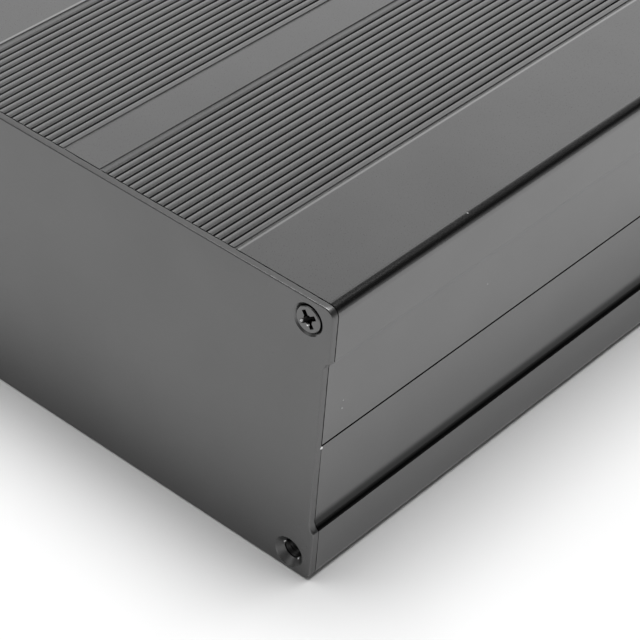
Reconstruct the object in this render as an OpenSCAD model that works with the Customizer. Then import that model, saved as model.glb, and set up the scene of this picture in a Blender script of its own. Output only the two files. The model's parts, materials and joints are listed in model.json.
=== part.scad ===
// Split-body enclosure in extruded aluminium.
// Two C-section extrusions meet in a lapped seam at mid height. A flat plate
// closes each end, and countersunk screws hold it in the screw channels that
// run along the four corners of the extrusions.
// Units are millimetres. X is the width, Y the length and Z is up.
// The origin is under the middle of the case, at the height of its lower face.

/* [Case] */
// Width over the corner bands
case_w = 106; // [86:1:180]
// Height over both halves
case_h = 54.8; // [45:0.2:90]
// Length of the extrusions between the end plates
case_len = 150; // [60:1:300]
// Thickness of the top and bottom webs
web_t = 2.1; // [1.6:0.1:3]
// Thickness of the side walls at the seam
wall_t = 2; // [1.6:0.1:3]
// Radius of the four long outside corners
corner_r = 1.8; // [1:0.1:2.6]

/* [Side recess] */
// Height of the corner band that stands proud above and below the recess
band_h = 10.1; // [7:0.1:14]
// How far the side walls lie behind the corner bands
recess_d = 1; // [0.5:0.1:1.4]
// Radius of the fillet where the recess runs out into the band
fillet_r = 2; // [1.5:0.1:3]

/* [Grooves] */
// Grooves in each of the two groups
groove_count = 20; // [4:1:22]
// Distance from one groove to the next
groove_pitch = 1.49; // [1.4:0.01:1.8]
// Distance between the inner grooves of the two groups
centre_band_w = 8; // [4:0.5:12]
// Mouth of a groove, with its rounded lips
groove_w = 0.5; // [0.45:0.05:0.6]
// Depth of a groove inside a group
groove_d = 0.5; // [0.3:0.05:0.6]
// Width of the floor of a groove
groove_floor_w = 0.15; // [0.1:0.05:0.2]
// Rounding on the lips of a groove
groove_lip_r = 0.1; // [0.05:0.01:0.12]
// Slope at which the lips run into the groove walls
groove_slope = 75; // [70:1:80]
// Width of the shoulder beside a groove, which crowns the ridges
shoulder_w = 0.35; // [0.1:0.05:0.35]
// Slope of the shoulders from the face
shoulder_slope = 6; // [2:1:8]
// Mouth of the first and last groove of a group, which are shallow arcs
edge_groove_w = 0.55; // [0.4:0.05:0.7]
// Depth of the first and last groove of a group
edge_groove_d = 0.17; // [0.1:0.01:0.2]

/* [Board slots] */
// Height of the lower edge of each board slot above the outer face of its half
slot_levels = [8.8, 15.6];
// Opening of a board slot, for a 1.6 mm board
slot_w = 1.8; // [1.2:0.1:2.4]
// Depth of a board slot, measured from the side wall
slot_d = 2.2; // [1.5:0.1:4]
// Thickness of the ribs that form the slots
rib_t = 1.2; // [0.8:0.1:1.6]

/* [Seam] */
// Thickness of the tongue that laps behind the other half
tongue_t = 0.9; // [0.6:0.05:1.1]
// Height of the tongue over the seam
tongue_h = 2; // [1:0.1:3]
// Clearance round the tongue
lap_gap = 0.1; // [0.05:0.01:0.2]
// Chamfer on the outer edges of the seam
seam_chamfer = 0.2; // [0.1:0.05:0.4]

/* [Screws] */
// Outer diameter of the screws' thread
thread_d = 3; // [2.5:0.1:3.6]
// Clearance of the shank in its screw hole
thread_gap = 0.05; // [0.02:0.01:0.1]
// Diameter of the screw head
head_d = 4.7; // [4.3:0.1:5.6]
// Length of a screw over its head
screw_len = 8; // [6:1:10]
// Distance of the screw head behind the outer face of the plate
head_sink = 0; // [0:0.05:0.2]
// Gap between the head and the cone that it seats in
seat_gap = 0.1; // [0.02:0.01:0.15]
// Chamfer on the edge of the head
head_chamfer = 0.15; // [0.05:0.05:0.2]
// Span of the cross recess in the head
recess_span = 3.1; // [2.4:0.1:3.4]
// Width of the arms of the cross recess
recess_arm_w = 0.7; // [0.5:0.05:0.9]
// Depth of the cross recess
recess_depth = 1.5; // [1:0.1:1.8]

/* [Screw channels] */
// Distance of the channels from the side of the case
channel_in = 4.7; // [4.2:0.1:6]
// Distance of the upper channels from the top face
channel_drop = 3.9; // [3.3:0.1:6]
// Distance of the lower channels from the bottom face
channel_rise = 3.4; // [3.3:0.1:6]
// Thickness of the channel wall round the screw hole
channel_wall = 1.2; // [0.9:0.1:1.4]
// How deep the thread cuts into the wall of the channel as extruded
thread_bite = 0.2; // [0.1:0.05:0.3]
// Width of the slot that leaves the channel open to the inside
channel_slot_w = 1.4; // [0.8:0.1:1.4]
// Depth of the screw holes from the ends of the extrusions
tapped_depth = 10; // [9:0.5:20]
// Chamfer at the mouth of a screw hole
tapped_chamfer = 0.3; // [0.2:0.05:0.5]

/* [End plates] */
// Thickness of an end plate
plate_t = 1.4; // [1.3:0.1:2]
// Clearance round the thread in a plate's holes
plate_hole_gap = 0.25; // [0.15:0.05:0.3]
// Ring of countersink left open round the head at the face of the plate
head_ring = 0.55; // [0.35:0.05:0.6]

/* [Hidden] */
$fn = 48;

// Amount by which a cutter runs past what it cuts
over = 1;
// The ends and the sides of the case, as signs along Y and along X
FRONT = -1;
REAR = 1;
LEFT = -1;
RIGHT = 1;

// Overlap of a rib with the wall that carries it
rib_root = 0.6;

seam_z = case_h / 2;
wall_out_x = case_w / 2 - recess_d;
wall_in_x = wall_out_x - wall_t;
channel_x = case_w / 2 - channel_in;
channel_top_z = case_h - channel_drop;
// Height over which the recess runs out into the band
runout_h = sqrt(pow(fillet_r, 2) - pow(fillet_r - recess_d, 2));
recess_low_z = band_h + runout_h;
recess_high_z = case_h - recess_low_z;

// Every cone is a right-angled one, so it is as deep as it is wide on one side
tapped_r = thread_d / 2;
shank_r = tapped_r - thread_gap;
channel_bore_r = tapped_r - thread_bite;
channel_r = tapped_r + channel_wall;
plate_hole_r = tapped_r + plate_hole_gap;
countersink_r = head_d / 2 + head_ring;
countersink_depth = countersink_r - plate_hole_r;
// Straight edge of the head, which puts its cone the seat gap off the countersink
head_edge_h = head_ring - head_sink - seat_gap;
head_cone_h = head_d / 2 - shank_r;
// Radius of the head's cone where it leaves the plate
head_back_r = head_d / 2 - (plate_t - head_sink - head_edge_h);
// The mouth of a screw hole clears that cone and keeps its own chamfer
mouth_r = max(tapped_r + tapped_chamfer, head_back_r + seat_gap);
mouth_depth = mouth_r - tapped_r;

ALUMINIUM = "#4b4b4d";
PLATE = "#464648";
BLACK_STEEL = "#2b2b2d";

// ---- Cross sections, drawn with X across and Y for the height ----

// Mirrors something drawn for the right side to the left
module on_side(side) {
    mirror([side == LEFT ? 1 : 0, 0])
        children();
}

// Rectangle with true arcs at its corners, standing on y = 0
module rounded_rectangle(w, h, r) {
    translate([-w / 2, r])
        square([w, h - 2 * r]);
    translate([-w / 2 + r, 0])
        square([w - 2 * r, h]);
    for (x = [-w / 2 + r, w / 2 - r], y = [r, h - r])
        translate([x, y])
            circle(r);
}

// Outline of the closed case: its corner bands and its recessed sides
module case_outline() {
    difference() {
        rounded_rectangle(case_w, case_h, corner_r);
        for (side = [LEFT, RIGHT])
            on_side(side)
                side_recess();
    }
}

module side_recess() {
    translate([wall_out_x, recess_low_z])
        square([recess_d + over, recess_high_z - recess_low_z]);
    for (z = [recess_low_z, recess_high_z])
        translate([wall_out_x + fillet_r, z])
            circle(fillet_r);
}

// Points down one side of a groove: a shoulder, a rounded lip and the floor's edge
function groove_side() =
    let (drop = shoulder_w * tan(shoulder_slope), turn = groove_slope - shoulder_slope)
    concat(
        [[groove_w / 2 + shoulder_w, 0]],
        [for (a = [shoulder_slope : turn / 2 : groove_slope])
            [groove_w / 2 - groove_lip_r * (sin(a) - sin(shoulder_slope)),
                drop + groove_lip_r * (cos(shoulder_slope) - cos(a))]],
        [[groove_floor_w / 2, groove_d]]
    );

// Groove cut upwards from the outer face at y = 0
module groove() {
    right = groove_side();
    left = [for (i = [len(right) - 1 : -1 : 0]) [-right[i][0], right[i][1]]];
    mouth = right[0][0];
    polygon(concat([[mouth, -over]], right, left, [[-mouth, -over]]));
}

// Shallow round groove that ends a group beside a plain band
module edge_groove() {
    radius = (pow(edge_groove_w / 2, 2) + pow(edge_groove_d, 2)) / (2 * edge_groove_d);
    translate([0, edge_groove_d - radius])
        circle(radius);
}

module grooves() {
    for (side = [LEFT, RIGHT], i = [0 : groove_count - 1])
        translate([side * (centre_band_w / 2 + i * groove_pitch), 0])
            if (i == 0 || i == groove_count - 1)
                edge_groove();
            else
                groove();
}

// Pairs of ribs on both side walls, which hold a circuit board by its edges
module board_ribs() {
    for (side = [LEFT, RIGHT], level = slot_levels, y = [level - rib_t, level + slot_w])
        on_side(side)
            translate([wall_in_x - slot_d, y])
                square([slot_d + rib_root, rib_t]);
}

module channel_walls(rise) {
    for (side = [LEFT, RIGHT])
        translate([side * channel_x, rise])
            circle(channel_r);
}

// Bores of the channels, each with its slot towards the inside of the case
module channel_bores(rise) {
    for (side = [LEFT, RIGHT])
        translate([side * channel_x, rise]) {
            circle(channel_bore_r);
            rotate(90 + side * 45)
                translate([0, -channel_slot_w / 2])
                    square([channel_r + over, channel_slot_w]);
        }
}

// Tongue on the right wall. The half opposite has it on the left
module seam_tongue() {
    translate([wall_in_x, seam_z - over])
        square([tongue_t, tongue_h + over]);
}

// Rebate in the left wall, for the tongue of the half opposite
module seam_rebate() {
    depth = tongue_h + lap_gap;
    translate([-wall_in_x - tongue_t - lap_gap, seam_z - depth])
        square([tongue_t + lap_gap + over, depth + over]);
}

module seam_chamfers() {
    for (side = [LEFT, RIGHT])
        translate([side * wall_out_x, seam_z])
            rotate(45)
                square(seam_chamfer * sqrt(2), center = true);
}

// Inside of one half, with the board ribs and the channel walls left standing
module cavity(rise) {
    difference() {
        translate([-wall_in_x, web_t])
            square([2 * wall_in_x, case_h]);
        board_ribs();
        channel_walls(rise);
    }
}

// One half of the case, with its outer face at y = 0 and its seam up
module half_section(rise) {
    difference() {
        union() {
            difference() {
                case_outline();
                translate([-case_w, seam_z])
                    square([2 * case_w, case_h]);
                cavity(rise);
            }
            seam_tongue();
        }
        grooves();
        channel_bores(rise);
        seam_rebate();
        seam_chamfers();
    }
}

// ---- Parts ----

// Stands a section drawn in X and Y along the case, centred on its length
module along_case(length) {
    rotate([90, 0, 0])
        linear_extrude(length, center = true)
            children();
}

// Puts something drawn along +Z at a screw place, pointing out of the case
module at_screw(end, side, z, face_y) {
    translate([side * channel_x, end * face_y, z])
        rotate([-90 * end, 0, 0])
            children();
}

module tapped_hole() {
    translate([0, 0, -tapped_depth])
        cylinder(h = tapped_depth + over, r = tapped_r);
    translate([0, 0, -mouth_depth])
        cylinder(h = 2 * mouth_depth, r1 = tapped_r, r2 = mouth_r + mouth_depth);
}

module shell_holes(z) {
    for (end = [FRONT, REAR], side = [LEFT, RIGHT])
        at_screw(end, side, z, case_len / 2)
            tapped_hole();
}

module top_shell() {
    color(ALUMINIUM)
        difference() {
            along_case(case_len)
                translate([0, case_h])
                    rotate(180)
                        half_section(channel_drop);
            shell_holes(channel_top_z);
        }
}

module bottom_shell() {
    color(ALUMINIUM)
        difference() {
            along_case(case_len)
                half_section(channel_rise);
            shell_holes(channel_rise);
        }
}

module plate_hole() {
    translate([0, 0, -plate_t - over])
        cylinder(h = plate_t + 2 * over, r = plate_hole_r);
    translate([0, 0, -countersink_depth])
        cylinder(h = 2 * countersink_depth, r1 = plate_hole_r,
            r2 = countersink_r + countersink_depth);
}

module end_plate(end) {
    color(PLATE)
        difference() {
            translate([0, end * (case_len + plate_t) / 2, 0])
                along_case(plate_t)
                    case_outline();
            for (side = [LEFT, RIGHT], z = [channel_rise, channel_top_z])
                at_screw(end, side, z, case_len / 2 + plate_t)
                    plate_hole();
        }
}

module front_plate() {
    end_plate(FRONT);
}

module rear_plate() {
    end_plate(REAR);
}

// Cross recess, cut down from z = 0, with arms that run to a point
module cross_recess() {
    tip_r = recess_arm_w / 2;
    intersection() {
        translate([0, 0, -recess_depth])
            cylinder(h = 2 * recess_depth, r1 = tip_r, r2 = recess_span - tip_r);
        for (turn = [0, 90])
            rotate(turn)
                cube([2 * recess_span, recess_arm_w, 2 * recess_depth], center = true);
    }
    translate([0, 0, -recess_depth])
        cylinder(h = 2 * recess_depth, r1 = tip_r, r2 = 3 * tip_r);
}

// Countersunk screw with the top of its head at z = 0 and its shank down
module countersunk_screw() {
    difference() {
        rotate_extrude()
            polygon([
                [0, 0],
                [head_d / 2 - head_chamfer, 0],
                [head_d / 2, -head_chamfer],
                [head_d / 2, -head_edge_h],
                [shank_r, -head_edge_h - head_cone_h],
                [shank_r, -screw_len + shank_r / 3],
                [shank_r * 2 / 3, -screw_len],
                [0, -screw_len]
            ]);
        cross_recess();
    }
}

module end_screw(end, side, z, turn) {
    color(BLACK_STEEL)
        at_screw(end, side, z, case_len / 2 + plate_t - head_sink)
            rotate(turn)
                countersunk_screw();
}

module screw_front_top_left() {
    end_screw(FRONT, LEFT, channel_top_z, 12);
}

module screw_front_top_right() {
    end_screw(FRONT, RIGHT, channel_top_z, 35);
}

module screw_front_bottom_left() {
    end_screw(FRONT, LEFT, channel_rise, 68);
}

module screw_rear_top_left() {
    end_screw(REAR, LEFT, channel_top_z, 51);
}

module screw_rear_top_right() {
    end_screw(REAR, RIGHT, channel_top_z, 7);
}

module screw_rear_bottom_left() {
    end_screw(REAR, LEFT, channel_rise, 22);
}

module screw_rear_bottom_right() {
    end_screw(REAR, RIGHT, channel_rise, 80);
}

top_shell();
bottom_shell();
front_plate();
rear_plate();
screw_front_top_left();
screw_front_top_right();
screw_front_bottom_left();
screw_rear_top_left();
screw_rear_top_right();
screw_rear_bottom_left();
screw_rear_bottom_right();
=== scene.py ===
import json
from math import ceil, cos, radians, sin
import bmesh
import bpy
from mathutils import Matrix, Vector, noise as pattern


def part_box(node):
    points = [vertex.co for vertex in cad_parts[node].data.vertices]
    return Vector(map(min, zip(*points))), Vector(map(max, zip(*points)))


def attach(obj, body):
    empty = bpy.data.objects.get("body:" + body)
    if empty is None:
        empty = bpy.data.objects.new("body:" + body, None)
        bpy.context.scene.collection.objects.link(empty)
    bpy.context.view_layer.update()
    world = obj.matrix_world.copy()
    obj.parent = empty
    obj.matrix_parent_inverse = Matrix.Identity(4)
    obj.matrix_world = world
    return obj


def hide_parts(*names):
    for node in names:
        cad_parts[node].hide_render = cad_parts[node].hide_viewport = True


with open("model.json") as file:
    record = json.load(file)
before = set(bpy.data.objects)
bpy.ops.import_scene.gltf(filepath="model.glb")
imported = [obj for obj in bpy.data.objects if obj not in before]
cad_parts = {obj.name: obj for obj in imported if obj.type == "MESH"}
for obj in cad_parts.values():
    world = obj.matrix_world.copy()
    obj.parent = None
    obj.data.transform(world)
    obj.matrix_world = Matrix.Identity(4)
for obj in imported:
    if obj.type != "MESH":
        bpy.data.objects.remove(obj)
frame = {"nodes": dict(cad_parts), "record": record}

# Blender's start-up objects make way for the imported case. Lengths are in metres.
for leftover in ("Cube", "Light", "Camera"):
    if leftover in bpy.data.objects:
        bpy.data.objects.remove(bpy.data.objects[leftover])
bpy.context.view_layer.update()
MM = 0.001
nodes = frame["nodes"]


# ---- The two shells ----
# Two C-section aluminium extrusions, sawn to length, fine-blasted and anodised
# black. The blasting leaves a satin face with a grain of about 0.2 mm.

def node_at(tree, kind, x, y, **settings):
    """Adds a node to a tree and sets its properties."""
    made = tree.nodes.new(kind)
    made.location = (x, y)
    for name, value in settings.items():
        setattr(made, name, value)
    return made


def noise(tree, coords, size, detail, x, y):
    """A noise pattern in object coordinates whose grains are about size across."""
    made = node_at(tree, "ShaderNodeTexNoise", x, y)
    made.inputs["Scale"].default_value = 1 / size
    made.inputs["Detail"].default_value = detail
    tree.links.new(coords, made.inputs["Vector"])
    return made.outputs["Fac"]


def spread(tree, source, low, high, x, y):
    """Maps the middle of a noise pattern onto the range low to high."""
    made = node_at(tree, "ShaderNodeMapRange", x, y)
    made.inputs["From Min"].default_value = 0.3
    made.inputs["From Max"].default_value = 0.7
    made.inputs["To Min"].default_value = low
    made.inputs["To Max"].default_value = high
    tree.links.new(source, made.inputs["Value"])
    return made.outputs["Result"]


def anodised(name, shade, roughness, grain, grain_height):
    """Blasted and dyed aluminium: satin, dark, with a fine even grain."""
    material = bpy.data.materials.new(name)
    material.use_nodes = True
    tree = material.node_tree
    shader = tree.nodes["Principled BSDF"]
    shader.inputs["Metallic"].default_value = 1.0
    coords = node_at(tree, "ShaderNodeTexCoord", -1200, 0).outputs["Object"]
    cloudy = noise(tree, coords, 14 * MM, 3, -1000, 300)
    grainy = noise(tree, coords, grain, 2, -1000, -100)
    tint = spread(tree, cloudy, shade * 0.97, shade * 1.03, -780, 300)
    grey = node_at(tree, "ShaderNodeCombineColor", -560, 300)
    for channel in ("Red", "Green", "Blue"):
        tree.links.new(tint, grey.inputs[channel])
    tree.links.new(grey.outputs["Color"], shader.inputs["Base Color"])
    rough = spread(tree, grainy, roughness * 0.9, roughness * 1.1, -780, 0)
    tree.links.new(rough, shader.inputs["Roughness"])
    bump = node_at(tree, "ShaderNodeBump", -560, -200)
    bump.inputs["Strength"].default_value = 0.5
    bump.inputs["Distance"].default_value = grain_height
    tree.links.new(grainy, bump.inputs["Height"])
    tree.links.new(bump.outputs["Normal"], shader.inputs["Normal"])
    return material


def band(tree, value, centre, half, soft, x, y):
    """1 where a coordinate lies within half of the centre, easing to 0 over soft."""
    off = node_at(tree, "ShaderNodeMath", x, y, operation="SUBTRACT")
    tree.links.new(value, off.inputs[0])
    off.inputs[1].default_value = centre
    size = node_at(tree, "ShaderNodeMath", x + 160, y, operation="ABSOLUTE")
    tree.links.new(off.outputs["Value"], size.inputs[0])
    made = node_at(tree, "ShaderNodeMapRange", x + 320, y, interpolation_type="SMOOTHSTEP")
    made.inputs["From Min"].default_value = half
    made.inputs["From Max"].default_value = half + soft
    made.inputs["To Min"].default_value = 1
    made.inputs["To Max"].default_value = 0
    tree.links.new(size.outputs["Value"], made.inputs["Value"])
    return made.outputs["Result"]


def both(tree, first, second, operation, x, y):
    """The product or the larger of two masks."""
    made = node_at(tree, "ShaderNodeMath", x, y, operation=operation)
    tree.links.new(first, made.inputs[0])
    tree.links.new(second, made.inputs[1])
    return made.outputs["Value"]


def object_axes(tree, x, y):
    """The object coordinates of the surface, and X and Y without their signs."""
    coords = node_at(tree, "ShaderNodeTexCoord", x, y).outputs["Object"]
    split = node_at(tree, "ShaderNodeSeparateXYZ", x + 160, y)
    tree.links.new(coords, split.inputs["Vector"])
    sides = []
    for row, axis in enumerate(("X", "Y")):
        plain = node_at(tree, "ShaderNodeMath", x + 320, y - 160 * row, operation="ABSOLUTE")
        tree.links.new(split.outputs[axis], plain.inputs[0])
        sides.append(plain.outputs["Value"])
    return coords, sides[0], sides[1], split.outputs["Z"]


def shaded(material, mask, shade, x, y):
    """Turns a finish to another shade of grey where the mask is 1."""
    tree = material.node_tree
    colour = tree.nodes["Principled BSDF"].inputs["Base Color"]
    mix = node_at(tree, "ShaderNodeMix", x, y, data_type="RGBA")
    tree.links.new(mask, mix.inputs["Factor"])
    tree.links.new(colour.links[0].from_socket, mix.inputs["A"])
    mix.inputs["B"].default_value = (shade, shade, shade, 1)
    tree.links.new(mix.outputs["Result"], colour)


def within(tree, coords, place, radius, x, y):
    """1 inside a small ragged spot about a place."""
    away = node_at(tree, "ShaderNodeVectorMath", x, y, operation="DISTANCE")
    tree.links.new(coords, away.inputs[0])
    away.inputs[1].default_value = Vector(place) * MM
    ragged = node_at(tree, "ShaderNodeMath", x + 160, y, operation="MULTIPLY")
    tree.links.new(away.outputs["Value"], ragged.inputs[0])
    rough = spread(tree, noise(tree, coords, 0.15 * MM, 1, x - 360, y - 120), 0.7, 1.3, x, y - 120)
    tree.links.new(rough, ragged.inputs[1])
    return band(tree, ragged.outputs["Value"], 0, radius * 0.7, radius * 0.3, x + 320, y)


def painted_chips_and_glints(material, chip_and_glint_spots):
    """Small painted spots of plain metal grey, for chips and for painted glints, each (place, radius,
    shade).
    """
    tree = material.node_tree
    coords = object_axes(tree, -3200, -1200)[0]
    spots = None
    for row, (place, radius, shade) in enumerate(chip_and_glint_spots):
        y = -1200 - 260 * row
        spot = within(tree, coords, place, radius * MM, -2600, y)
        shaded(material, spot, shade, -300, y)
        spots = spot if spots is None else both(tree, spots, spot, "MAXIMUM", -1700, y)
    dull = node_at(tree, "ShaderNodeMath", -300, -1100, operation="SUBTRACT")
    dull.inputs[0].default_value = 1
    tree.links.new(spots, dull.inputs[1])
    tree.links.new(dull.outputs["Value"], tree.nodes["Principled BSDF"].inputs["Metallic"])


def middle_of(name):
    """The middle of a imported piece's box."""
    low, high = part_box(name)
    return (low + high) / 2


SHELL_GRAIN = 0.22 * MM
case_end, case_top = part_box("top_shell")[0].y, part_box("top_shell")[1].z
# The halves lap each other, and their joint shows half-way up the lap
SEAM = (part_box("top_shell")[0].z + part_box("bottom_shell")[1].z) / 2
RECESSED_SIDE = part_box("top_shell")[1].x - 1 * MM
HOLE_X, HOLE_HIGH = middle_of("screw_front_top_right").xz
HOLE_LOW = middle_of("screw_front_bottom_left").z
LAST_LIP = 32.9 * MM

extrusion = anodised("anodised_extrusion_finish", 0.155, 0.3, SHELL_GRAIN, 0.013 * MM)
dye = extrusion.node_tree
_, side_x, _, height = object_axes(dye, -3200, 1200)
# The joint between the halves is painted as a dark line
joint = both(dye, band(dye, height, SEAM, 0.13 * MM, 0.05 * MM, -2600, 1200),
             band(dye, side_x, RECESSED_SIDE, 0.6 * MM, 0.1 * MM, -2600, 1000),
             "MULTIPLY", -2000, 1100)
shaded(extrusion, joint, 0.01, -300, 900)
# The outer lip of the last groove on each side is painted paler
lip = both(dye, band(dye, side_x, LAST_LIP, 0.1 * MM, 0.2 * MM, -2600, 800),
           band(dye, height, case_top, 0.05 * MM, 0.05 * MM, -2600, 600), "MULTIPLY", -2000, 700)
shaded(extrusion, lip, 0.29, -300, 700)
# The tapped holes are painted dark, a painted shade inside the bores
HOLE_SHADE_RADIUS = 1.85 * MM
across = band(dye, side_x, HOLE_X, HOLE_SHADE_RADIUS, 0.1 * MM, -2600, 400)
holes = both(dye, band(dye, height, HOLE_LOW, HOLE_SHADE_RADIUS, 0.1 * MM, -2600, 200),
             band(dye, height, HOLE_HIGH, HOLE_SHADE_RADIUS, 0.1 * MM, -2600, 0), "MAXIMUM", -2000, 100)
shaded(extrusion, both(dye, across, holes, "MULTIPLY", -1800, 200), 0.03, -300, 500)
# A painted shade widens the dark reflected line of the fillet over the lower band
FILLET_HEIGHT, FILLET_X = 10.6 * MM, 51.9 * MM
fillet_painted_shade = both(dye, band(dye, height, FILLET_HEIGHT, 0.9 * MM, 1.7 * MM, -2600, -200),
              band(dye, side_x, FILLET_X, 0.8 * MM, 0.15 * MM, -2600, -400),
              "MULTIPLY", -2000, -300)
shaded(extrusion, fillet_painted_shade, 0.03, -300, 300)
# The corners and sides are made smoother than the grooved face
polish = node_at(dye, "ShaderNodeMapRange", -2000, -600, interpolation_type="SMOOTHSTEP")
polish.inputs["From Min"].default_value = 50.6 * MM
polish.inputs["From Max"].default_value = 51.4 * MM
polish.inputs["To Min"].default_value = 1
polish.inputs["To Max"].default_value = 0.68
dye.links.new(side_x, polish.inputs["Value"])
gloss = dye.nodes["Principled BSDF"].inputs["Roughness"]
dye.links.new(both(dye, gloss.links[0].from_socket, polish.outputs["Result"], "MULTIPLY", -1800, -600),
              gloss)
# Painted spots: a painted highlight for the glint at the joint's near end and four nicks, in
# millimetres
painted_chips_and_glints(extrusion, [((52, -75, 26.95), 0.3, 0.95), ((52, -70.8, 32.5), 0.16, 0.5),
                    ((52, -70.6, 34), 0.16, 0.5), ((52, -34.9, 37.1), 0.14, 0.5),
                    ((51.4, -42.4, 54.75), 0.14, 0.5)])
for name in ("top_shell", "bottom_shell"):
    nodes[name].material_slots[0].material = extrusion


# ---- The end plates ----
# Flat aluminium sheet, sheared to the outline of the case and countersunk for
# the screws. Shearing rolls the outer arris over and leaves the edge ragged.

ROLLED, EASED = 0.26 * MM, 0.04 * MM
CRACK_DEPTH = 0.45 * MM
RAGGED = 0.04 * MM
EDGE_STEP = 0.35 * MM
UPPER_CRACK, LOWER_CRACK = 0.16 * MM, 0.1 * MM
AROUND_A_HOLE = 3.2 * MM
sheet_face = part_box("rear_plate")[1].y
hole_places = [(x, z) for x in (-HOLE_X, HOLE_X) for z in (HOLE_LOW, HOLE_HIGH)]


def near_a_hole(point):
    """True on and beside the four countersinks."""
    return any(Vector((point.x - x, point.z - z)).length < AROUND_A_HOLE for x, z in hole_places)


def arrises(shape, outward, at_holes):
    """Edges between the face that looks outward along Y and the walls that meet it."""
    found = []
    for edge in shape.edges:
        if len(edge.link_faces) != 2:
            continue
        facing = [face.normal.y * outward > 0.99 for face in edge.link_faces]
        middle = (edge.verts[0].co + edge.verts[1].co) / 2
        if facing[0] != facing[1] and near_a_hole(middle) == at_holes:
            found.append(edge)
    return found


def sheared_plate(name, outward):
    """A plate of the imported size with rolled, ragged edges, in place of the plain one."""
    shape = bmesh.new()
    shape.from_mesh(nodes[name].data)
    bmesh.ops.remove_doubles(shape, verts=shape.verts, dist=0.001 * MM)
    bmesh.ops.dissolve_limit(shape, angle_limit=radians(0.5), verts=shape.verts,
                             edges=shape.edges)
    walls = {face for edge in arrises(shape, outward, False)
             for face in edge.link_faces if abs(face.normal.y) < 0.5}
    for wall in walls:
        along = [edge for edge in wall.edges
                 if abs(edge.verts[0].co.y - edge.verts[1].co.y) < 0.01 * MM]
        cuts = ceil(along[0].calc_length() / EDGE_STEP) - 1
        if cuts > 0:
            bmesh.ops.subdivide_edges(shape, edges=along, cuts=cuts, use_grid_fill=True)
    bmesh.ops.bevel(shape, geom=arrises(shape, outward, False), offset=ROLLED, segments=4,
                    profile=0.5, affect="EDGES")
    backs = [face for face in shape.faces if face.normal.y * -outward > 0.99]
    bmesh.ops.inset_region(shape, faces=backs, thickness=CRACK_DEPTH, use_even_offset=True)
    shape.normal_update()
    rim = {vertex for edge in arrises(shape, -outward, False) for vertex in edge.verts}
    for vertex in rim:
        crack = UPPER_CRACK if vertex.co.z > SEAM else LOWER_CRACK
        vertex.co.y += outward * crack * (1 + 0.5 * pattern.noise(vertex.co / (1.3 * MM)))
    bmesh.ops.bevel(shape, geom=arrises(shape, outward, True), offset=EASED, segments=2,
                    profile=0.5, affect="EDGES")
    shape.normal_update()
    for vertex in shape.verts:
        if not near_a_hole(vertex.co) and abs(vertex.normal.y) < 0.95:
            worn = 0.5 + 0.5 * pattern.noise(vertex.co / (0.5 * MM))
            vertex.co -= vertex.normal * RAGGED * worn
    mesh = bpy.data.meshes.new(name + "_sheared")
    shape.to_mesh(mesh)
    shape.free()
    mesh.shade_smooth()
    mesh.set_sharp_from_angle(angle=radians(40))
    mesh.materials.clear()
    mesh.materials.append(sheet)
    piece = bpy.data.objects.new(name + "_sheared", mesh)
    bpy.context.scene.collection.objects.link(piece)
    weighted = piece.modifiers.new("flat faces", "WEIGHTED_NORMAL")
    weighted.weight = 100
    weighted.keep_sharp = True
    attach(piece, "root")
    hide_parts(name)


sheet = anodised("anodised_plate_finish", 0.132, 0.25, 0.22 * MM, 0.004 * MM)
# The sheared edge is made duller than the face
edge_y = object_axes(sheet.node_tree, -3200, 1200)[2]
torn = band(sheet.node_tree, edge_y, 0, sheet_face - 0.3 * MM, 0.25 * MM, -2600, 1200)
shaded(sheet, torn, 0.135, -300, 900)
blunt = node_at(sheet.node_tree, "ShaderNodeMapRange", -2000, 900)
blunt.inputs["To Min"].default_value = 1
blunt.inputs["To Max"].default_value = 1.5
sheet.node_tree.links.new(torn, blunt.inputs["Value"])
gloss = sheet.node_tree.nodes["Principled BSDF"].inputs["Roughness"]
sheet.node_tree.links.new(both(sheet.node_tree, gloss.links[0].from_socket, blunt.outputs["Result"],
                               "MULTIPLY", -1800, 900), gloss)
# Pale spots are painted highlights that stand in for glints at the empty hole and the joint, and a
# grey one paints light into the dark reflection in the lower notch
painted_chips_and_glints(sheet, [((46.62, -75.25, 3.88), 0.3, 0.95), ((49.54, -75.25, 2.16), 0.3, 0.95),
                ((52, -75.1, 26.95), 0.25, 0.95), ((52.5, -75.7, 11), 0.7, 0.1)])
sheared_plate("front_plate", -1)
sheared_plate("rear_plate", 1)


# ---- The screws ----
# Seven M3 countersunk machine screws with a cross recess, in steel with a black
# plating. The eighth, at the front plate's lower right hole, is lost.

def calc(tree, operation, first, second, x, y):
    """Works out a size of a Geometry Nodes tree from sockets or numbers."""
    made = node_at(tree, "ShaderNodeMath", x, y, operation=operation)
    for socket, value in zip(made.inputs, (first, second)):
        if isinstance(value, bpy.types.NodeSocket):
            tree.links.new(value, socket)
        else:
            socket.default_value = value
    return made.outputs["Value"]


def moved_up(tree, geometry, height, x, y):
    """Moves a shape along Z by a size of the tree."""
    place = node_at(tree, "ShaderNodeCombineXYZ", x, y - 150)
    tree.links.new(height, place.inputs["Z"])
    made = node_at(tree, "GeometryNodeTransform", x + 180, y)
    tree.links.new(geometry, made.inputs["Geometry"])
    tree.links.new(place.outputs["Vector"], made.inputs["Translation"])
    return made.outputs["Geometry"]


def turned(tree, low, high, length, foot, x, y):
    """A turned length of the screw, from radius low at its foot to radius high."""
    made = node_at(tree, "GeometryNodeMeshCone", x, y)
    made.inputs["Vertices"].default_value = 64
    for label, value in (("Radius Bottom", low), ("Radius Top", high), ("Depth", length)):
        tree.links.new(value, made.inputs[label])
    return moved_up(tree, made.outputs["Mesh"], foot, x + 180, y)


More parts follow.
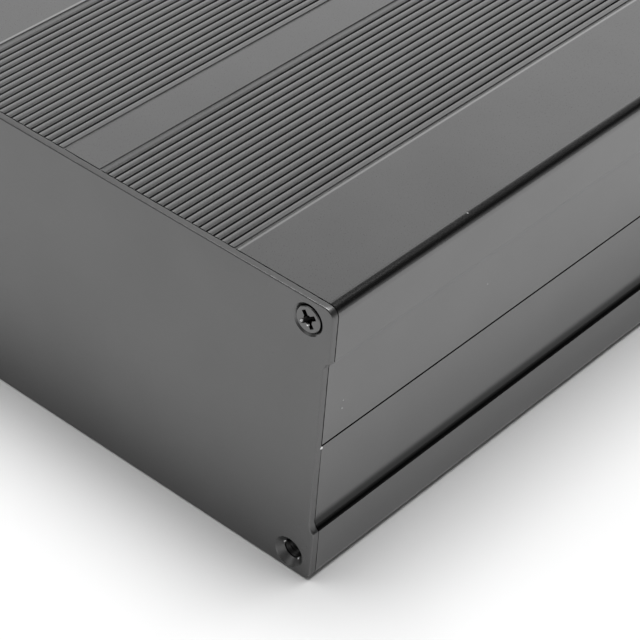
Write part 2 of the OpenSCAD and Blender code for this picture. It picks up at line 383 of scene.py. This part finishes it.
def ridge(tree, radius, pitch, height, length, foot, x, y):
    """A helical thread ridge of diamond section about the Z axis."""
    helix = node_at(tree, "GeometryNodeCurveSpiral", x, y)
    helix.inputs["Resolution"].default_value = 32
    tree.links.new(calc(tree, "DIVIDE", length, pitch, x - 180, y), helix.inputs["Rotations"])
    for label in ("Start Radius", "End Radius"):
        tree.links.new(radius, helix.inputs[label])
    tree.links.new(length, helix.inputs["Height"])
    upright = node_at(tree, "GeometryNodeSetCurveNormal", x + 180, y, mode="Z_UP")
    tree.links.new(helix.outputs["Curve"], upright.inputs["Curve"])
    section = node_at(tree, "GeometryNodeCurvePrimitiveCircle", x + 180, y - 200)
    section.inputs["Resolution"].default_value = 4
    tree.links.new(height, section.inputs["Radius"])
    sweep = node_at(tree, "GeometryNodeCurveToMesh", x + 360, y)
    sweep.inputs["Fill Caps"].default_value = True
    tree.links.new(upright.outputs["Curve"], sweep.inputs["Curve"])
    tree.links.new(section.outputs["Curve"], sweep.inputs["Profile Curve"])
    return moved_up(tree, sweep.outputs["Mesh"], foot, x + 540, y)


def tree_with(name, sizes):
    """A Geometry Nodes tree with a named input for each size, and its input node."""
    tree = bpy.data.node_groups.new(name, "GeometryNodeTree")
    tree.interface.new_socket("Geometry", in_out="INPUT", socket_type="NodeSocketGeometry")
    for label in sizes:
        tree.interface.new_socket(label, in_out="INPUT", socket_type="NodeSocketFloat")
    tree.interface.new_socket("Material", in_out="INPUT", socket_type="NodeSocketMaterial")
    tree.interface.new_socket("Geometry", in_out="OUTPUT", socket_type="NodeSocketGeometry")
    return tree, node_at(tree, "NodeGroupInput", -1600, 0)


def placed(tree, given, shape, x):
    """Puts a shape at each place, turned as its facing says, and ends the tree."""
    facing = node_at(tree, "GeometryNodeInputNamedAttribute", x, -400, data_type="FLOAT_VECTOR")
    facing.inputs["Name"].default_value = "facing"
    turn = node_at(tree, "FunctionNodeEulerToRotation", x + 180, -400)
    tree.links.new(facing.outputs["Attribute"], turn.inputs["Euler"])
    copies = node_at(tree, "GeometryNodeInstanceOnPoints", x + 360, 0)
    tree.links.new(given.outputs["Geometry"], copies.inputs["Points"])
    tree.links.new(shape, copies.inputs["Instance"])
    tree.links.new(turn.outputs["Rotation"], copies.inputs["Rotation"])
    real = node_at(tree, "GeometryNodeRealizeInstances", x + 540, 0)
    tree.links.new(copies.outputs["Instances"], real.inputs["Geometry"])
    finish = node_at(tree, "GeometryNodeSetMaterial", x + 720, 0)
    tree.links.new(real.outputs["Geometry"], finish.inputs["Geometry"])
    tree.links.new(given.outputs["Material"], finish.inputs["Material"])
    end = node_at(tree, "NodeGroupOutput", x + 900, 0)
    tree.links.new(finish.outputs["Geometry"], end.inputs["Geometry"])


def grown(name, tree, sizes, finish, places):
    """Runs a tree on a set of places and returns its result as a plain mesh object."""
    spots = bpy.data.meshes.new(name + "_places")
    spots.from_pydata([place for place, facing in places], [], [])
    turns = spots.attributes.new("facing", "FLOAT_VECTOR", "POINT")
    for entry, (place, facing) in zip(turns.data, places):
        entry.vector = facing
    holder = bpy.data.objects.new(name + "_places", spots)
    bpy.context.scene.collection.objects.link(holder)
    modifier = holder.modifiers.new("grow", "NODES")
    modifier.node_group = tree
    for item in tree.interface.items_tree:
        if item.in_out == "INPUT" and item.name in sizes:
            modifier[item.identifier] = sizes[item.name]
        elif item.name == "Material":
            modifier[item.identifier] = finish
    result = holder.evaluated_get(bpy.context.evaluated_depsgraph_get())
    mesh = bpy.data.meshes.new_from_object(result)
    bpy.data.objects.remove(holder)
    # The booleans leave faces of no area, and most of them go here
    shape = bmesh.new()
    shape.from_mesh(mesh)
    bmesh.ops.dissolve_degenerate(shape, edges=shape.edges, dist=0.002 * MM)
    shape.to_mesh(mesh)
    shape.free()
    piece = bpy.data.objects.new(name, mesh)
    bpy.context.scene.collection.objects.link(piece)
    return piece


screw_sizes = {
    "Head radius": 2.35 * MM, "Head edge": 0.45 * MM, "Rim chamfer": 0.15 * MM,
    "Shank radius": 1.2 * MM, "Length": 8 * MM, "Tip": 0.5 * MM,
    "Pitch": 0.5 * MM, "Thread height": 0.25 * MM,
    "Recess radius": 1.68 * MM, "Recess arm": 0.82 * MM, "Recess depth": 1.5 * MM,
}
screw_tree, size = tree_with("countersunk_screw", screw_sizes)
head = size.outputs["Head radius"]
edge = size.outputs["Head edge"]
chamfer = size.outputs["Rim chamfer"]
shank = size.outputs["Shank radius"]
tip = size.outputs["Tip"]
depth = size.outputs["Recess depth"]
arm = size.outputs["Recess arm"]

cone = calc(screw_tree, "SUBTRACT", head, shank, -1400, 500)
neck = calc(screw_tree, "MULTIPLY", calc(screw_tree, "ADD", edge, cone, -1400, 400), -1, -1220, 400)
point = calc(screw_tree, "MULTIPLY", size.outputs["Length"], -1, -1400, 300)
shoulder = calc(screw_tree, "ADD", point, tip, -1220, 300)
rod = calc(screw_tree, "SUBTRACT", neck, shoulder, -1040, 300)
face = calc(screw_tree, "SUBTRACT", head, chamfer, -1400, 200)
rim = calc(screw_tree, "SUBTRACT", edge, chamfer, -1400, 100)
narrow = calc(screw_tree, "MULTIPLY", shank, 0.67, -1400, 0)
# The cone runs on inside the rod, so that the two cross and join cleanly
taper_length = calc(screw_tree, "SUBTRACT", head, narrow, -1220, 0)
taper_foot = calc(screw_tree, "MULTIPLY",
                  calc(screw_tree, "ADD", edge, taper_length, -1220, -100), -1, -1040, 0)
lengths = [
    turned(screw_tree, head, face, chamfer,
           calc(screw_tree, "MULTIPLY", chamfer, -1, -1040, 900), -800, 900),
    turned(screw_tree, head, head, rim,
           calc(screw_tree, "MULTIPLY", edge, -1, -1040, 700), -800, 700),
    turned(screw_tree, narrow, head, taper_length, taper_foot, -800, 500),
    turned(screw_tree, shank, shank, calc(screw_tree, "ADD", rod, chamfer, -1040, 500),
           shoulder, -800, 300),
    turned(screw_tree, narrow, shank, tip, point, -800, 100),
]
blank = node_at(screw_tree, "GeometryNodeMeshBoolean", -300, 500, operation="UNION", solver="EXACT")
for part in lengths:
    screw_tree.links.new(part, blank.inputs["Mesh 2"])

# The punch that sinks the recess: a cross of two bars within a cone
below = calc(screw_tree, "MULTIPLY", depth, -1, -1040, -100)
half_arm = calc(screw_tree, "MULTIPLY", arm, 0.5, -1040, -200)
double_depth = calc(screw_tree, "MULTIPLY", depth, 2, -1040, -300)
twice_out = calc(screw_tree, "MULTIPLY", size.outputs["Recess radius"], 2, -1040, -400)
flare = calc(screw_tree, "SUBTRACT", twice_out, half_arm, -860, -400)
taper = turned(screw_tree, half_arm, flare, double_depth, below, -800, -100)
core_top = calc(screw_tree, "MULTIPLY", arm, 1.5, -1040, -600)
# The middle goes a little deeper and the bars run through, so no two bottoms coincide
deeper = calc(screw_tree, "MULTIPLY", below, 1.05, -1040, -700)
core = turned(screw_tree, half_arm, core_top, double_depth, deeper, -800, -600)
through = calc(screw_tree, "MULTIPLY", depth, 2.4, -1040, -900)
bars = []
for across, row in ((True, -800), (False, -1000)):
    extent = node_at(screw_tree, "ShaderNodeCombineXYZ", -800, row)
    screw_tree.links.new(calc(screw_tree, "MULTIPLY", twice_out, 2, -1040, row),
                         extent.inputs["X" if across else "Y"])
    screw_tree.links.new(arm, extent.inputs["Y" if across else "X"])
    screw_tree.links.new(through, extent.inputs["Z"])
    bar = node_at(screw_tree, "GeometryNodeMeshCube", -620, row)
    screw_tree.links.new(extent.outputs["Vector"], bar.inputs["Size"])
    wing = node_at(screw_tree, "GeometryNodeMeshBoolean", -440, row, operation="INTERSECT",
                   solver="EXACT")
    screw_tree.links.new(bar.outputs["Mesh"], wing.inputs["Mesh 2"])
    screw_tree.links.new(taper, wing.inputs["Mesh 2"])
    bars.append(wing.outputs["Mesh"])
punched = node_at(screw_tree, "GeometryNodeMeshBoolean", -100, 300, operation="DIFFERENCE",
                  solver="EXACT")
screw_tree.links.new(blank.outputs["Mesh"], punched.inputs["Mesh 1"])
for cutter in bars + [core]:
    screw_tree.links.new(cutter, punched.inputs["Mesh 2"])
spiral = ridge(screw_tree, shank, size.outputs["Pitch"], size.outputs["Thread height"],
               rod, shoulder, -800, -1300)
whole = node_at(screw_tree, "GeometryNodeJoinGeometry", 100, 0)
screw_tree.links.new(punched.outputs["Mesh"], whole.inputs["Geometry"])
screw_tree.links.new(spiral, whole.inputs["Geometry"])
placed(screw_tree, size, whole.outputs["Geometry"], 300)

plating = anodised("black_plating", 0.14, 0.2, 0.3 * MM, 0.003 * MM)
paint = plating.node_tree
# The recess is painted dark below its rim, a painted shade in the hollow
away_y = object_axes(paint, -3200, 1200)[2]
recess_painted_shade = band(paint, away_y, 0, sheet_face - 0.18 * MM, 0.08 * MM, -2600, 1200)
shaded(plating, recess_painted_shade, 0.03, -300, 900)
# Pale spots stand in for the glints at three corners of the recess
painted_chips_and_glints(plating, [((47.03, -76.25, 49.98), 0.27, 0.95), ((48.39, -76.25, 49.84), 0.25, 0.95),
                  ((49.26, -76.25, 51.6), 0.2, 0.6)])
# How far each screw was driven round, in degrees
turns = {
    "screw_front_top_left": 12, "screw_front_top_right": 35, "screw_front_bottom_left": 68,
    "screw_rear_top_left": 51, "screw_rear_top_right": 7,
    "screw_rear_bottom_left": 22, "screw_rear_bottom_right": 80,
}
screw_places = []
for name, turn in turns.items():
    low, high = (Vector(corner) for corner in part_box(name))
    end = -1 if low.y < 0 else 1
    seat = (low + high) / 2
    seat.y = low.y if end < 0 else high.y
    screw_places.append((seat, (radians(-90 * end), radians(end * turn), 0)))
screws = grown("machine_screws", screw_tree, screw_sizes, plating, screw_places)
screws.data.shade_smooth()
screws.data.set_sharp_from_angle(angle=radians(30))
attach(screws, "root")
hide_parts(*turns)


# ---- The thread in the empty hole ----
# The hole that has lost its screw shows the thread that was tapped into the
# open channel of the lower shell.

thread_sizes = {"Radius": 1.5 * MM, "Pitch": 0.5 * MM, "Height": 0.25 * MM,
                "Length": 9.4 * MM, "Foot": -9.7 * MM}
thread_tree, size = tree_with("tapped_thread", thread_sizes)
groove = ridge(thread_tree, *(size.outputs[label] for label in thread_sizes), -800, 0)
placed(thread_tree, size, groove, 300)
empty = next(mount for mount in frame["record"]["mounts"] if mount["name"] == "free_screw_hole")
mouth = Vector((empty["pos_m"][0], case_end, empty["pos_m"][2]))
thread = grown("tapped_thread", thread_tree, thread_sizes, extrusion,
               [(mouth, (radians(90), 0, 0))])
thread.data.shade_smooth()
thread.data.set_sharp_from_angle(angle=radians(30))
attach(thread, "root")


# ---- The studio ----
# A pale floor, a lamp overhead and a low bright backdrop behind the left side.
# The rest of the room is dim, which draws the black lines along rounded edges.

floor_mesh = bpy.data.meshes.new("floor")
reach = 6.0
floor_mesh.from_pydata(
    [(-reach, -reach, 0), (reach, -reach, 0), (reach, reach, 0), (-reach, reach, 0)],
    [], [(0, 1, 2, 3)])
floor = bpy.data.objects.new("floor", floor_mesh)
bpy.context.scene.collection.objects.link(floor)
white = bpy.data.materials.new("white_floor")
white.use_nodes = True
paper = white.node_tree.nodes["Principled BSDF"]
paper.inputs["Base Color"].default_value = (0.9, 0.9, 0.9, 1)
paper.inputs["Roughness"].default_value = 0.9
floor_mesh.materials.append(white)

world = bpy.data.worlds.new("studio")
bpy.context.scene.world = world
world.use_nodes = True
sky = world.node_tree
sky.nodes.clear()
ray = node_at(sky, "ShaderNodeTexCoord", -1200, 0).outputs["Generated"]
axes = node_at(sky, "ShaderNodeSeparateXYZ", -1000, 0)
sky.links.new(ray, axes.inputs["Vector"])


def ramp(source, start, end, low, high, y):
    """Eases from low to high while source goes from start to end."""
    made = node_at(sky, "ShaderNodeMapRange", -780, y, interpolation_type="SMOOTHSTEP")
    made.inputs["From Min"].default_value = start
    made.inputs["From Max"].default_value = end
    made.inputs["To Min"].default_value = low
    made.inputs["To Max"].default_value = high
    sky.links.new(source, made.inputs["Value"])
    return made.outputs["Result"]


def combine(kind, first, second, x, y):
    """Adds, multiplies or compares two values of the sky."""
    made = node_at(sky, "ShaderNodeMath", x, y, operation=kind)
    sky.links.new(first, made.inputs[0])
    sky.links.new(second, made.inputs[1])
    return made.outputs["Value"]


# The backdrop fades out between 32 and 42 degrees up, and towards the right
low_down = ramp(axes.outputs["Z"], sin(radians(31.5)), sin(radians(42)), 1.95, 0.0, 200)
to_the_left = ramp(axes.outputs["X"], -0.1, 0.35, 1.0, 0.0, 0)
behind = ramp(axes.outputs["Y"], -0.2, 0.2, 0.0, 1.0, -200)
backdrop = combine("MULTIPLY", combine("MULTIPLY", low_down, to_the_left, -560, 200),
                   behind, -400, 100)
# The room in front is a soft grey, and behind it is nearly black
room = ramp(axes.outputs["Y"], -0.3, 0.25, 0.25, 0.03, -400)
# Low down at the back right the room is a dim grey
dusk = combine("MULTIPLY", ramp(axes.outputs["Z"], 0.0, sin(radians(27)), 0.5, 0.0, -800),
               ramp(axes.outputs["X"], 0.1, 0.45, 0.0, 1.0, -1000), -560, -800)
# A pale screen stands high in front and to the left
towards = node_at(sky, "ShaderNodeVectorMath", -780, -600, operation="DOT_PRODUCT")
sky.links.new(ray, towards.inputs[0])
towards.inputs[1].default_value = (-0.476, -0.616, 0.626)
screen = ramp(towards.outputs["Value"], cos(radians(22)), cos(radians(14)), 0.0, 0.75, -600)
dim = combine("ADD", room, dusk, -400, -200)
light = combine("ADD", combine("ADD", backdrop, dim, -400, 0), screen, -240, 0)
lit = node_at(sky, "ShaderNodeBackground", -60, 0)
sky.links.new(light, lit.inputs["Strength"])
output = node_at(sky, "ShaderNodeOutputWorld", 140, 0)
sky.links.new(lit.outputs["Background"], output.inputs["Surface"])


def softbox(name, centre, aim, size, power):
    """A rectangular soft lamp at centre that faces aim."""
    lamp = bpy.data.lights.new(name, "AREA")
    lamp.shape = "RECTANGLE"
    lamp.size, lamp.size_y = size
    lamp.energy = power
    piece = bpy.data.objects.new(name, lamp)
    bpy.context.scene.collection.objects.link(piece)
    facing = (Vector(aim) - Vector(centre)).to_track_quat("-Z", "Y")
    piece.matrix_world = Matrix.Translation(centre) @ facing.to_matrix().to_4x4()


softbox("overhead", (-0.15, 0.27, 2.4), (0, 0, 0), (1.95, 1.2), 65)


# ---- The camera ----
# It looks down on the near upper corner of the case, and leans a little.

azimuth, elevation, lean = radians(37.5), radians(38.4), radians(5.0)
distance = 0.385
corner = Vector((48.97, -74.3, 50.05)) * MM
level = Vector((cos(azimuth), sin(azimuth), 0))
outwards = Vector((cos(elevation) * sin(azimuth), -cos(elevation) * cos(azimuth),
                   sin(elevation)))
upright = outwards.cross(level)
across = level * cos(lean) + upright * sin(lean)
above = outwards.cross(across)
view = Matrix((across, above, outwards)).transposed().to_4x4()
lens = bpy.data.cameras.new("camera")
lens.sensor_width = 36
lens.lens = 145.43
lens.clip_start = 0.01
camera = bpy.data.objects.new("camera", lens)
bpy.context.scene.collection.objects.link(camera)
camera.matrix_world = Matrix.Translation(corner + outwards * distance) @ view
bpy.context.scene.camera = camera
bpy.context.scene.view_settings.view_transform = "Standard"
